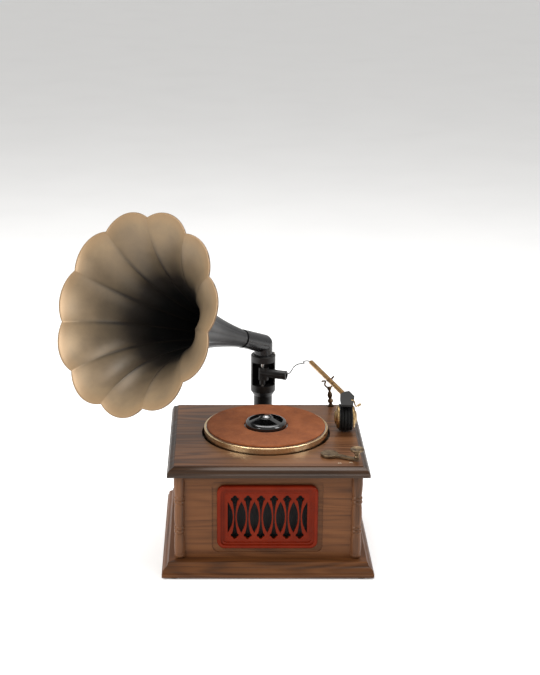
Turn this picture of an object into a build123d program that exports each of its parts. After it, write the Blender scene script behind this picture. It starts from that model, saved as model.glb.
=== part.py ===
from build123d import *
import math
import os

os.makedirs("parts", exist_ok=True)

# Horn record player: wooden cabinet with a turntable, a flower horn on a black
# pillar behind the cabinet, and a short tonearm.  Millimetres, +Z up,
# +X to the right of someone facing the grille, +Y away from them.

# ---------------------------------------------------------------- dimensions
CX, CY, CZ = 48.2172, -11.9517, 1.6      # cabinet centre on the floor plane of the plinth

TOP_W, TOP_D = 89.0, 84.7          # half width and half depth of the top panel
TOP_Z0, TOP_Z1 = 93.4, 102.3       # underside and face of the top panel
PL_W, PL_D = 94.3, 90.0            # half width and half depth of the plinth
PL_TOP = 12.9                      # top of the plinth moulding
PL_STRIP = 20.0                    # width of each plinth strip
BODY_X, BODY_Y = 78.5, 74.2        # outer faces of the body panels
PANEL_T = 7.0                      # body panel thickness
COL_R = 4.6                        # turned corner column radius

PLAT_Y = 4.7                       # turntable axis, behind the cabinet centre
WELL_R = 59.3                      # well cut through the top panel
RIM_R = 57.3                       # turntable rim, outside
MAT_R = 55.0                       # felt mat
PLAT_TOP = 108.2                   # turntable top
MAT_T = 1.6
ADAPTER_R = 19.1                   # outside of the large-hole record adaptor

GR_W, GR_H, GR_Z = 44.7, 30.1, 52.5    # bezel half width, half height, centre height
FR_W, FR_H = 37.5, 22.4                # fret panel half width and half height
LENS_PITCH = 11.56

PIL_Y = 108.0                      # pillar axis, behind the cabinet
STEM_R = 9.0
HOUS_R = 12.1
HOUS_Z0, HOUS_Z1 = 107.6, 144.6
WIN_Z0, WIN_Z1 = 114.4, 137.9
ELBOW_Z = 155.4                    # corner of the elbow
HORN_AZ, HORN_EL = 49.78, 21.56    # horn axis: degrees from -X towards -Y, and up
HORN_L = 197.6                     # elbow corner to the plane of the petal notches
PETALS = 11
PETAL_PHASE = 7.84
PIV = (-1.0, 100.0)                # vertical pivot of the arm socket
ARM_Z = 128.2
SOCKET_AZ = -22.4

LEV = (54.7, -54.6)                # speed lever axis
LEV_AZ = -28.3

TUBE_R = 2.4
ARM_A = (72.46, 38.0, 129.25)      # tonearm tube: a point near the head
ARM_B = (47.82, 116.0, 133.24)     # tonearm tube: the open end
DRUM = (73.6, 8.5, 115.6)          # centre of the pickup drum
DRUM_R = 12.7


def pos(x, y, z):
    return Vector(CX + x, CY + y, CZ + z)


def flat(x=0.0, y=0.0, z=0.0):
    # horizontal plane, normal up
    return Plane(origin=pos(x, y, z), x_dir=(1, 0, 0), z_dir=(0, 0, 1))


def front(x=0.0, y=0.0, z=0.0):
    # upright plane facing the viewer, sketch x to the right and y up, normal -Y
    return Plane(origin=pos(x, y, z), x_dir=(1, 0, 0), z_dir=(0, -1, 0))


def side(x=0.0, y=0.0, z=0.0):
    # upright plane facing right, sketch x away from the viewer and y up, normal +X
    return Plane(origin=pos(x, y, z), x_dir=(0, 1, 0), z_dir=(1, 0, 0))


def done(builder, name):
    builder.part.label = name
    export_step(builder.part, "parts/" + name + ".step")


# ---------------------------------------------------------------- top panel
def top_profile(w):
    # closed outline of the moulded slab, half width w
    Polyline((-w, TOP_Z0), (w, TOP_Z0), (w, 96.1), (w - 0.7, 96.5))
    ThreePointArc((w - 0.7, 96.5), (w - 1.3, 98.7), (w - 3.0, 100.1))
    ThreePointArc((w - 3.0, 100.1), (w - 4.4, 100.7), (w - 5.5, 101.5))
    Polyline((w - 5.5, 101.5), (w - 6.3, 101.6), (w - 6.35, TOP_Z1), (-w + 6.35, TOP_Z1), (-w + 6.3, 101.6), (-w + 5.5, 101.5))
    ThreePointArc((-w + 5.5, 101.5), (-w + 4.4, 100.7), (-w + 3.0, 100.1))
    ThreePointArc((-w + 3.0, 100.1), (-w + 1.3, 98.7), (-w + 0.7, 96.5))
    Polyline((-w + 0.7, 96.5), (-w, 96.1), (-w, TOP_Z0))


with BuildPart() as top_panel:
    with BuildSketch(front(0, TOP_D, 0)):
        with BuildLine():
            top_profile(TOP_W)
        make_face()
    extrude(amount=2 * TOP_D)
    with BuildSketch(side(-TOP_W - 1, 0, 0)):
        with BuildLine():
            top_profile(TOP_D)
        make_face()
    extrude(amount=2 * TOP_W + 2, mode=Mode.INTERSECT)
    with BuildSketch(flat(0, PLAT_Y, TOP_Z0 - 1)):
        Circle(WELL_R)
    extrude(amount=12, mode=Mode.SUBTRACT)
    with BuildSketch(flat(LEV[0], LEV[1], TOP_Z0 - 1)):
        Circle(2.6)
    extrude(amount=12, mode=Mode.SUBTRACT)
    with BuildSketch(flat(65.0, 74.6, TOP_Z1 - 5.2)):
        Circle(1.25)
    extrude(amount=6, mode=Mode.SUBTRACT)
done(top_panel, "top_panel")


# ---------------------------------------------------------------- plinth strips
def plinth_profile(w, inner):
    # one strip, outer edge at +w, inner edge at +inner
    Polyline((inner, 0), (w, 0), (w, 3.3), (w - 0.9, 3.6))
    ThreePointArc((w - 0.9, 3.6), (w - 1.5, 7.0), (w - 3.4, 8.7))
    ThreePointArc((w - 3.4, 8.7), (w - 4.6, 9.8), (w - 5.2, 11.9))
    Polyline((w - 5.2, 11.9), (w - 6.1, PL_TOP), (inner, PL_TOP), (inner, 0))


for strip, sgn in (("plinth_front", -1), ("plinth_rear", 1)):
    with BuildPart() as plinth_fr:
        with BuildSketch(side(-PL_W, 0, 0)):
            with BuildLine():
                plinth_profile(PL_D, PL_D - PL_STRIP)
            make_face()
            if sgn < 0:
                mirror(about=Plane.YZ, mode=Mode.REPLACE)
        extrude(amount=2 * PL_W)
        # mitred ends
        with BuildSketch(flat(0, 0, -1)):
            Polygon((-PL_W, sgn * PL_D), (PL_W, sgn * PL_D),
                    (PL_W - PL_STRIP, sgn * (PL_D - PL_STRIP)), (-PL_W + PL_STRIP, sgn * (PL_D - PL_STRIP)), align=None)
        extrude(amount=PL_TOP + 3, mode=Mode.INTERSECT)
        # the same moulding returned round the ends
        with BuildSketch(front(0, PL_D + 1, 0)):
            with BuildLine():
                Polyline((-PL_W, -1), (PL_W, -1), (PL_W, 3.3), (PL_W - 0.9, 3.6))
                ThreePointArc((PL_W - 0.9, 3.6), (PL_W - 1.5, 7.0), (PL_W - 3.4, 8.7))
                ThreePointArc((PL_W - 3.4, 8.7), (PL_W - 4.6, 9.8), (PL_W - 5.2, 11.9))
                Polyline((PL_W - 5.2, 11.9), (PL_W - 6.1, PL_TOP), (PL_W - 6.1, PL_TOP + 1), (-PL_W + 6.1, PL_TOP + 1), (-PL_W + 6.1, PL_TOP), (-PL_W + 5.2, 11.9))
                ThreePointArc((-PL_W + 5.2, 11.9), (-PL_W + 4.6, 9.8), (-PL_W + 3.4, 8.7))
                ThreePointArc((-PL_W + 3.4, 8.7), (-PL_W + 1.5, 7.0), (-PL_W + 0.9, 3.6))
                Polyline((-PL_W + 0.9, 3.6), (-PL_W, 3.3), (-PL_W, -1))
            make_face()
        extrude(amount=2 * PL_D + 2, mode=Mode.INTERSECT)
    done(plinth_fr, strip)

for strip, sgn in (("plinth_left", -1), ("plinth_right", 1)):
    with BuildPart() as plinth_lr:
        with BuildSketch(front(0, PL_D, 0)):
            with BuildLine():
                plinth_profile(PL_W, PL_W - PL_STRIP)
            make_face()
            if sgn < 0:
                mirror(about=Plane.YZ, mode=Mode.REPLACE)
        extrude(amount=2 * PL_D)
        with BuildSketch(flat(0, 0, -1)):
            Polygon((sgn * PL_W, -PL_D), (sgn * PL_W, PL_D),
                    (sgn * (PL_W - PL_STRIP), PL_D - PL_STRIP), (sgn * (PL_W - PL_STRIP), -PL_D + PL_STRIP), align=None)
        extrude(amount=PL_TOP + 3, mode=Mode.INTERSECT)
    done(plinth_lr, strip)

# ---------------------------------------------------------------- body panels
BODY_H = TOP_Z0 - PL_TOP
with BuildPart() as front_panel:
    with BuildSketch(flat(0, -BODY_Y + PANEL_T / 2, PL_TOP)):
        Rectangle(2 * BODY_X, PANEL_T)
    extrude(amount=BODY_H)
    # shallow rebate that the bezel sits in
    with BuildSketch(front(-0.5, -BODY_Y + 0.8, GR_Z)):
        RectangleRounded(2 * GR_W + 9.0, 2 * GR_H + 8.6, 6.0)
    extrude(amount=2, mode=Mode.SUBTRACT)
    with BuildSketch(front(-0.5, -BODY_Y + PANEL_T + 1, GR_Z)):
        RectangleRounded(2 * FR_W + 0.4, 2 * FR_H + 0.4, 3.2)
    extrude(amount=PANEL_T + 2, mode=Mode.SUBTRACT)
done(front_panel, "front_panel")

with BuildPart() as rear_panel:
    with BuildSketch(flat(0, BODY_Y - PANEL_T / 2, PL_TOP)):
        Rectangle(2 * BODY_X, PANEL_T)
    extrude(amount=BODY_H)
    # lead hole and bracket screw holes
    with BuildSketch(front(0, BODY_Y + 1, 60.0)):
        Circle(3.0)
        with GridLocations(36, 44, 2, 2):
            Circle(1.3)
    extrude(amount=PANEL_T + 2, mode=Mode.SUBTRACT)
done(rear_panel, "rear_panel")

for nm, sgn in (("left_panel", -1), ("right_panel", 1)):
    with BuildPart() as side_panel:
        with BuildSketch(flat(sgn * (BODY_X - PANEL_T / 2), 0, PL_TOP)):
            Rectangle(PANEL_T, 2 * (BODY_Y - PANEL_T))
        extrude(amount=BODY_H)
    done(side_panel, nm)

# ---------------------------------------------------------------- turned columns
COL = [(0, PL_TOP), (3.2, PL_TOP), (4.2, 14.2), (4.6, 16.5)]
for nm, sx, sy in (("column_front_left", -1, -1), ("column_front_right", 1, -1),
                   ("column_rear_left", -1, 1), ("column_rear_right", 1, 1)):
    with BuildPart() as column:
        with BuildSketch(front(sx * BODY_X, sy * BODY_Y, 0)):
            with BuildLine():
                Polyline((0, PL_TOP), (3.2, PL_TOP))
                ThreePointArc((3.2, PL_TOP), (4.35, 14.2), (4.6, 17.0))
                ThreePointArc((4.6, 17.0), (4.85, 27.0), (4.15, 36.8))
                ThreePointArc((4.15, 36.8), (4.85, 38.6), (4.05, 40.4))
                ThreePointArc((4.05, 40.4), (4.85, 42.2), (4.1, 44.0))
                ThreePointArc((4.1, 44.0), (4.75, 54.5), (4.1, 65.0))
                ThreePointArc((4.1, 65.0), (4.85, 66.8), (4.05, 68.6))
                ThreePointArc((4.05, 68.6), (4.85, 70.4), (4.15, 72.2))
                ThreePointArc((4.15, 72.2), (4.8, 81.0), (4.6, TOP_Z0))
                Polyline((4.6, TOP_Z0), (0, TOP_Z0), (0, PL_TOP))
            make_face()
        revolve(axis=Axis(pos(sx * BODY_X, sy * BODY_Y, 0), (0, 0, 1)), revolution_arc=360)
        with BuildSketch(flat(sx * (BODY_X - 10), sy * (BODY_Y - 10), 0)):
            Rectangle(20, 20)
        extrude(amount=110, mode=Mode.SUBTRACT)
    done(column, nm)

# ---------------------------------------------------------------- bottom board, cover, feet
BAT_X, BAT_Y = -14.0, 22.0
BAT_W, BAT_D = 108.0, 57.0
SCREW_X, SCREW_Y = 66.4, 62.1      # screws up into the corner blocks
with BuildPart() as bottom_board:
    with BuildSketch(flat(0, 0, 5.0)):
        Rectangle(2 * (PL_W - PL_STRIP), 2 * (PL_D - PL_STRIP))
        with Locations((BAT_X, BAT_Y)):
            Rectangle(BAT_W, BAT_D, mode=Mode.SUBTRACT)
        with GridLocations(2 * SCREW_X, 2 * SCREW_Y, 2, 2):
            Circle(1.5, mode=Mode.SUBTRACT)
    extrude(amount=4.5)

with BuildPart() as corner_blocks:
    with BuildSketch(flat(0, 0, 9.5)):
        with GridLocations(2 * SCREW_X, 2 * SCREW_Y, 2, 2):
            Rectangle(10.2, 10.2)
            Circle(1.5, mode=Mode.SUBTRACT)
    extrude(amount=24.0)

with BuildPart() as base_board:
    add(bottom_board.part)
    add(corner_blocks.part)
done(base_board, "bottom_board")

with BuildPart() as cover_rails:
    with BuildSketch(flat(BAT_X + 12, BAT_Y, 2.6)):
        with Locations((0, BAT_D / 2 + 5.4), (0, -BAT_D / 2 - 5.4)):
            Rectangle(BAT_W + 26, 5.0)
    extrude(amount=2.4)
    with BuildSketch(flat(BAT_X + 12, BAT_Y, 2.6)):
        with Locations((0, BAT_D / 2 + 4.2), (0, -BAT_D / 2 - 4.2)):
            Rectangle(BAT_W + 26, 7.4)
    extrude(amount=0.9)
done(cover_rails, "cover_rails")

with BuildPart() as battery_cover:
    with BuildSketch(flat(BAT_X, BAT_Y, 3.65)):
        Rectangle(BAT_W + 2, BAT_D + 5.4)
    extrude(amount=1.2)
    with BuildSketch(flat(BAT_X - BAT_W / 2 + 12, BAT_Y, 2.65)):
        with GridLocations(3.2, 0, 4, 1):
            Rectangle(1.2, 22)
    extrude(amount=1.0)
done(battery_cover, "battery_cover")

with BuildPart() as feet:
    with BuildSketch(flat(0, 0, -CZ)):
        with GridLocations(2 * 83.3, 2 * 82.6, 2, 2):
            Circle(5.4)
    extrude(amount=CZ)
done(feet, "feet")

with BuildPart() as base_screws:
    with BuildSketch(flat(0, 0, 3.4)):
        with GridLocations(2 * SCREW_X, 2 * SCREW_Y, 2, 2):
            Circle(2.7)
    extrude(amount=1.6)
    with BuildSketch(flat(0, 0, 5.0)):
        with GridLocations(2 * SCREW_X, 2 * SCREW_Y, 2, 2):
            Circle(1.45)
    extrude(amount=13.0)

# ---------------------------------------------------------------- batteries
HOLD_Z = 9.5
with BuildPart() as battery_holder:
    with BuildSketch(flat(BAT_X, BAT_Y, HOLD_Z)):
        Rectangle(BAT_W + 6, BAT_D + 8)
    extrude(amount=1.6)
    with BuildSketch(flat(BAT_X, BAT_Y, HOLD_Z)):
        Rectangle(BAT_W + 3.2, BAT_D + 3.2)
    extrude(amount=26.0)
    with BuildSketch(flat(BAT_X, BAT_Y, HOLD_Z - 0.5)):
        Rectangle(BAT_W, BAT_D)
    extrude(amount=24.9, mode=Mode.SUBTRACT)
    with BuildSketch(flat(BAT_X, BAT_Y, HOLD_Z)):
        Rectangle(BAT_W, 1.4)
    extrude(amount=25.0)
done(battery_holder, "battery_holder")

with BuildPart() as battery_cells:
    for cy in (-14.2, 14.2):
        for k in (-1, 1):
            with BuildSketch(side(BAT_X + k * 25.1 - 24.0 + (0.6 if k > 0 else -0.6), BAT_Y + cy, 19.2)):
                Circle(13.0)
            extrude(amount=46.4)
            with BuildSketch(side(BAT_X + k * 25.1 - 24.0 + (0.6 if k > 0 else -0.6) + 46.4, BAT_Y + cy, 19.2)):
                Circle(3.3)
            extrude(amount=1.6)
done(battery_cells, "battery_cells")

with BuildPart() as battery_contacts:
    for cy in (-14.2, 14.2):
        with BuildSketch(side(BAT_X - BAT_W / 2, BAT_Y + cy, 19.2)):
            Rectangle(16, 16)
        extrude(amount=0.5)
        with BuildSketch(side(BAT_X - BAT_W / 2 + 0.5, BAT_Y + cy, 19.2)):
            Circle(5.0)
            Circle(3.9, mode=Mode.SUBTRACT)
        extrude(amount=3.3)
        with BuildSketch(side(BAT_X + BAT_W / 2 - 0.5, BAT_Y + cy, 19.2)):
            Rectangle(16, 16)
        extrude(amount=0.5)
done(battery_contacts, "battery_contacts")

# ---------------------------------------------------------------- amplifier
AMP = (-34.0, -34.0)
with BuildPart() as amplifier_board:
    with BuildSketch(flat(AMP[0], AMP[1], 15.5)):
        Rectangle(66, 42)
        with GridLocations(58, 34, 2, 2):
            Circle(1.2, mode=Mode.SUBTRACT)
    extrude(amount=1.6)
done(amplifier_board, "amplifier_board")

with BuildPart() as board_standoffs:
    with BuildSketch(flat(AMP[0], AMP[1], 9.5)):
        with GridLocations(58, 34, 2, 2):
            Circle(2.6)
            Circle(1.2, mode=Mode.SUBTRACT)
    extrude(amount=6.0)

with BuildPart() as transistors:
    with BuildSketch(flat(AMP[0] + 2, AMP[1] + 11, 17.1)):
        with GridLocations(9.0, 0, 4, 1):
            Circle(2.4)
            with Locations((0, -1.9)):
                Rectangle(5.2, 1.6, mode=Mode.SUBTRACT)
    extrude(amount=5.0)

with BuildPart() as output_transformer:
    with BuildSketch(flat(AMP[0] - 18, AMP[1] - 3, 17.1)):
        Rectangle(16, 9)
    extrude(amount=12)
    with BuildSketch(flat(AMP[0] - 18, AMP[1] - 3, 19.1)):
        Rectangle(10, 14)
    extrude(amount=8)

with BuildPart() as capacitors:
    with BuildSketch(flat(AMP[0] + 10, AMP[1] - 7, 17.1)):
        with Locations((-10, 0), (2, 2), (14, -3)):
            Circle(4.0)
    extrude(amount=11)
    fillet(capacitors.edges().group_by(Axis.Z)[-1], 0.6)

with BuildPart() as amplifier_parts:
    add(board_standoffs.part)
    add(transistors.part)
    add(output_transformer.part)
    add(capacitors.part)
done(amplifier_parts, "amplifier_parts")

# ---------------------------------------------------------------- bezel and fret
with BuildPart() as grille_bezel:
    with BuildSketch(front(-0.5, -BODY_Y + 0.8, GR_Z)):
        RectangleRounded(2 * GR_W, 2 * GR_H, 7.0)
    extrude(amount=3.9)
    fillet(grille_bezel.edges().group_by(Axis.Y)[0], 1.5)
    with BuildSketch(front(-0.5, -BODY_Y - 1.6, GR_Z)):
        RectangleRounded(2 * GR_W - 6.4, 2 * GR_H - 6.4, 4.6)
    extrude(amount=4, mode=Mode.SUBTRACT)
    with BuildSketch(front(-0.5, -BODY_Y - 0.4, GR_Z)):
        RectangleRounded(2 * GR_W - 10.6, 2 * GR_H - 10.6, 3.6)
    extrude(amount=4, mode=Mode.SUBTRACT)
    with BuildSketch(front(-0.5, -BODY_Y + 2, GR_Z)):
        RectangleRounded(2 * FR_W, 2 * FR_H, 3.0)
    extrude(amount=5, mode=Mode.SUBTRACT)
done(grille_bezel, "grille_bezel")

CLUB_Z = 17.3
FRET_DZ = -0.7
with BuildPart() as grille_fret:
    with BuildSketch(front(-0.5, -BODY_Y + 1.4, GR_Z + FRET_DZ)):
        with Locations((0, -FRET_DZ)):
            RectangleRounded(2 * FR_W, 2 * FR_H, 3.0)
        # five pointed lens openings
        for k in range(-2, 3):
            with BuildLine():
                cx = k * LENS_PITCH
                ThreePointArc((cx, -15.0), (cx - 4.05, 0), (cx, 15.0))
                ThreePointArc((cx, 15.0), (cx + 4.05, 0), (cx, -15.0))
            make_face(mode=Mode.SUBTRACT)
        # half lens openings at the ends
        for s in (-1, 1):
            with BuildLine():
                cx = s * 3 * LENS_PITCH
                ThreePointArc((cx + s * 0.6, -15.0), (cx - s * 4.05, 0), (cx + s * 0.6, 15.0))
                Line((cx + s * 0.6, 15.0), (cx + s * 0.6, -15.0))
            make_face(mode=Mode.SUBTRACT)
        # waisted slits that join the upper and lower clubs
        for k in range(-3, 3):
            cx = (k + 0.5) * LENS_PITCH
            with BuildLine():
                ThreePointArc((cx - 2.5, -16.2), (cx - 0.55, 0), (cx - 2.5, 16.2))
                Line((cx - 2.5, 16.2), (cx + 2.5, 16.2))
                ThreePointArc((cx + 2.5, 16.2), (cx + 0.55, 0), (cx + 2.5, -16.2))
                Line((cx + 2.5, -16.2), (cx - 2.5, -16.2))
            make_face(mode=Mode.SUBTRACT)
        with GridLocations(LENS_PITCH, 2 * CLUB_Z, 6, 2):
            with Locations((-1.85, 0), (1.85, 0), (0, 1.85), (0, -1.85), (0, 0)):
                Circle(1.8, mode=Mode.SUBTRACT)
    extrude(amount=2.0)
done(grille_fret, "grille_fret")

with BuildPart() as grille_cloth:
    with BuildSketch(front(-0.5, -BODY_Y + PANEL_T - 0.1, GR_Z)):
        RectangleRounded(2 * FR_W - 0.4, 2 * FR_H - 0.4, 2.8)
    extrude(amount=0.6)
done(grille_cloth, "grille_cloth")

# ---------------------------------------------------------------- speaker
SPY = -BODY_Y + PANEL_T            # inside face of the front panel
SPK_Z = 51.5
with BuildPart() as speaker_basket:
    with BuildSketch(side(0, SPY, SPK_Z)):
        Polygon((0, 33.0), (0, 38.4), (1.2, 38.4), (1.2, 34.4), (6.0, 33.2), (17.5, 20.0), (20.5, 17.0), (22.0, 17.0), (22.0, 0), (20.8, 0), (20.8, 15.4), (19.5, 16.6), (16.5, 18.6), (5.2, 32.0), (1.2, 33.0), align=None)
    revolve(axis=Axis(pos(0, SPY, SPK_Z), (0, 1, 0)), revolution_arc=360)
    with BuildSketch(front(0, SPY + 15.5, SPK_Z)):
        with PolarLocations(24.5, 6):
            Rectangle(6, 9)
    extrude(amount=8, mode=Mode.SUBTRACT)
done(speaker_basket, "speaker_basket")

with BuildPart() as speaker_cone:
    with BuildSketch(side(0, SPY, SPK_Z)):
        Polygon((1.4, 31.8), (2.0, 32.2), (5.0, 29.5), (14.2, 9.0), (19.0, 8.2), (19.0, 7.6), (13.4, 7.8), (9.5, 0), (8.7, 0), (12.6, 8.6), (4.2, 28.6), (1.4, 31.0), align=None)
    revolve(axis=Axis(pos(0, SPY, SPK_Z), (0, 1, 0)), revolution_arc=360)
done(speaker_cone, "speaker_cone")

with BuildPart() as speaker_magnet:
    with BuildSketch(front(0, SPY + 32.0, SPK_Z)):
        Circle(16.0)
    extrude(amount=10.0)
    fillet(speaker_magnet.edges(), 0.8)
done(speaker_magnet, "speaker_magnet")

# ---------------------------------------------------------------- drive under the deck
with BuildPart() as motor_plate:
    with BuildSketch(flat(0, PLAT_Y, 91.8)):
        Circle(62.0)
        with Locations(Location((0, 0, 0), (0, 0, 45)), Location((0, 0, 0), (0, 0, -45))):
            SlotOverall(142, 13)
        Circle(5.05, mode=Mode.SUBTRACT)
        with Locations(Location((0, 0, 0), (0, 0, 45)), Location((0, 0, 0), (0, 0, -45))):
            with GridLocations(130, 0, 2, 1):
                Circle(1.5, mode=Mode.SUBTRACT)
    extrude(amount=1.6)
    MOT = (-26.0, 15.0)            # motor shaft, from the turntable axis
    with BuildSketch(flat(MOT[0], PLAT_Y + MOT[1], 91.0)):
        Circle(3.2)
        with GridLocations(17, 0, 2, 1):
            Circle(1.25)
    extrude(amount=3, mode=Mode.SUBTRACT)
done(motor_plate, "motor_plate")

with BuildPart() as plate_screws:
    with BuildSketch(flat(0, PLAT_Y, 89.8)):
        with Locations(Location((0, 0, 0), (0, 0, 45)), Location((0, 0, 0), (0, 0, -45))):
            with GridLocations(130, 0, 2, 1):
                Circle(2.8)
    extrude(amount=2.0)

with BuildPart() as spindle_bearing:
    with BuildSketch(front(0, PLAT_Y, 0)):
        Polygon((0, 79.0), (5.0, 79.0), (5.0, 93.4), (7.5, 93.4), (7.5, 94.8), (3.06, 94.8), (3.06, 81.0), (0, 81.0), align=None)
    revolve(axis=Axis(pos(0, PLAT_Y, 0), (0, 0, 1)), revolution_arc=360)
done(spindle_bearing, "spindle_bearing")

with BuildPart() as motor:
    with BuildSketch(flat(MOT[0], PLAT_Y + MOT[1], 64.0)):
        Circle(13.0)
    extrude(amount=27.8)
    fillet(motor.edges().group_by(Axis.Z)[0], 1.2)
    with BuildSketch(flat(MOT[0], PLAT_Y + MOT[1], 91.8)):
        Circle(3.1)
    extrude(amount=1.4)
    with BuildSketch(flat(MOT[0], PLAT_Y + MOT[1], 84.0)):
        Circle(1.05)
    extrude(amount=12, mode=Mode.SUBTRACT)
done(motor, "motor")

with BuildPart() as motor_screws:
    with BuildSketch(flat(MOT[0], PLAT_Y + MOT[1], 93.4)):
        with GridLocations(17, 0, 2, 1):
            Circle(2.0)
    extrude(amount=1.1)
    with BuildSketch(flat(MOT[0], PLAT_Y + MOT[1], 91.8)):
        with GridLocations(17, 0, 2, 1):
            Circle(1.2)
    extrude(amount=1.6)

PUL_R, IDL_R, DRIVE_R = 1.25, 13.8, 52.0
# the idler sits where it is one gap from both the pulley and the inside of the flange
MD = math.hypot(*MOT)
D1 = DRIVE_R - IDL_R - 0.2
D2 = IDL_R + PUL_R + 0.2
ca = (D1 * D1 + MD * MD - D2 * D2) / (2 * D1 * MD)
ang = math.atan2(MOT[1], MOT[0]) + math.acos(ca)
IDL = (D1 * math.cos(ang), D1 * math.sin(ang))

with BuildPart() as motor_pulley:
    with BuildSketch(flat(MOT[0], PLAT_Y + MOT[1], 84.5)):
        Circle(1.0)
    extrude(amount=12.5)
    with BuildSketch(flat(MOT[0], PLAT_Y + MOT[1], 96.4)):
        Circle(PUL_R)
    extrude(amount=4.2)
    with BuildSketch(flat(MOT[0], PLAT_Y + MOT[1], 100.6)):
        Circle(1.7)
    extrude(amount=3.2)
    with BuildSketch(flat(MOT[0], PLAT_Y + MOT[1], 95.2)):
        Circle(2.6)
    extrude(amount=0.8)
done(motor_pulley, "motor_pulley")

with BuildPart() as idler_post:
    with BuildSketch(flat(IDL[0], PLAT_Y + IDL[1], 93.4)):
        Circle(3.6)
    extrude(amount=3.0)
    with BuildSketch(flat(IDL[0], PLAT_Y + IDL[1], 96.4)):
        Circle(1.5)
    extrude(amount=5.6)
    with BuildSketch(flat(IDL[0], PLAT_Y + IDL[1], 101.2)):
        Circle(3.0)
    extrude(amount=0.8)
done(idler_post, "idler_post")

with BuildPart() as idler_wheel:
    with BuildSketch(flat(IDL[0], PLAT_Y + IDL[1], 96.7)):
        Circle(IDL_R - 1.6)
        Circle(1.56, mode=Mode.SUBTRACT)
    extrude(amount=4.2)
    with BuildSketch(flat(IDL[0], PLAT_Y + IDL[1], 96.4)):
        Circle(5.4)
        Circle(3.5, mode=Mode.SUBTRACT)
    extrude(amount=1.0)
    with BuildSketch(flat(IDL[0], PLAT_Y + IDL[1], 97.6)):
        Circle(IDL_R - 3.0)
        Circle(7.0, mode=Mode.SUBTRACT)
    extrude(amount=0.01, mode=Mode.PRIVATE)
done(idler_wheel, "idler_wheel")

with BuildPart() as idler_tyre:
    with BuildSketch(flat(IDL[0], PLAT_Y + IDL[1], 97.2)):
        Circle(IDL_R)
        Circle(IDL_R - 1.6, mode=Mode.SUBTRACT)
    extrude(amount=3.0)
done(idler_tyre, "idler_tyre")

# ---------------------------------------------------------------- turntable
with BuildPart() as platter:
    with BuildSketch(front(0, PLAT_Y, 0)):
        Polygon((3.0, 97.0), (9.0, 97.0), (9.0, 104.6), (12.0, 105.9), (DRIVE_R, 105.9), (DRIVE_R, 95.4), (55.4, 95.4), (55.4, PLAT_TOP), (3.0, PLAT_TOP), align=None)
    revolve(axis=Axis(pos(0, PLAT_Y, 0), (0, 0, 1)), revolution_arc=360)
done(platter, "platter")

with BuildPart() as platter_rim:
    with BuildSketch(front(0, PLAT_Y, 0)):
        with BuildLine():
            Polyline((55.4, PLAT_TOP), (55.4, 97.2), (RIM_R - 0.3, 97.2), (RIM_R, 97.5), (RIM_R, PLAT_TOP - 0.7))
            ThreePointArc((RIM_R, PLAT_TOP - 0.7), (RIM_R - 0.2, PLAT_TOP - 0.2), (RIM_R - 0.7, PLAT_TOP))
            Line((RIM_R - 0.7, PLAT_TOP), (55.4, PLAT_TOP))
        make_face()
    revolve(axis=Axis(pos(0, PLAT_Y, 0), (0, 0, 1)), revolution_arc=360)
done(platter_rim, "platter_rim")

with BuildPart() as spindle:
    with BuildSketch(front(0, PLAT_Y, 0)):
        with BuildLine():
            Polyline((0, 81.3), (3.0, 81.3), (3.0, PLAT_TOP), (3.55, PLAT_TOP), (3.55, 116.2))
            ThreePointArc((3.55, 116.2), (2.6, 117.6), (0.8, 118.3))
            Polyline((0.8, 118.3), (0, 118.3), (0, 81.3))
        make_face()
    revolve(axis=Axis(pos(0, PLAT_Y, 0), (0, 0, 1)), revolution_arc=360)
done(spindle, "spindle")

with BuildPart() as turntable_mat:
    with BuildSketch(flat(0, PLAT_Y, PLAT_TOP)):
        Circle(MAT_R)
        Circle(ADAPTER_R + 0.5, mode=Mode.SUBTRACT)
    extrude(amount=MAT_T)
done(turntable_mat, "turntable_mat")

# three-armed adaptor for large-hole records: ring, hub and arms, with open pockets
with BuildPart() as record_adaptor:
    with BuildSketch(front(0, PLAT_Y, 0)):
        with BuildLine():
            Polyline((3.65, PLAT_TOP + 0.15), (ADAPTER_R - 0.6, PLAT_TOP + 0.15), (ADAPTER_R, PLAT_TOP + 0.8), (ADAPTER_R, 111.6))
            ThreePointArc((ADAPTER_R, 111.6), (ADAPTER_R - 0.9, 113.4), (ADAPTER_R - 3.0, 114.3))
            ThreePointArc((ADAPTER_R - 3.0, 114.3), (10.0, 115.9), (5.6, 117.1))
            Polyline((5.6, 117.1), (3.65, 117.1), (3.65, PLAT_TOP + 0.15))
        make_face()
    revolve(axis=Axis(pos(0, PLAT_Y, 0), (0, 0, 1)), revolution_arc=360)
    with BuildSketch(flat(0, PLAT_Y, PLAT_TOP + 1.4)):
        Circle(ADAPTER_R - 3.4)
        Circle(6.6, mode=Mode.SUBTRACT)
        for a in (80, 200, 320):
            with Locations(Location((11.0 * math.cos(math.radians(a)), 11.0 * math.sin(math.radians(a)), 0), (0, 0, a))):
                Rectangle(14.0, 5.6, mode=Mode.SUBTRACT)
    extrude(amount=12, mode=Mode.SUBTRACT)
done(record_adaptor, "record_adaptor")

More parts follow.
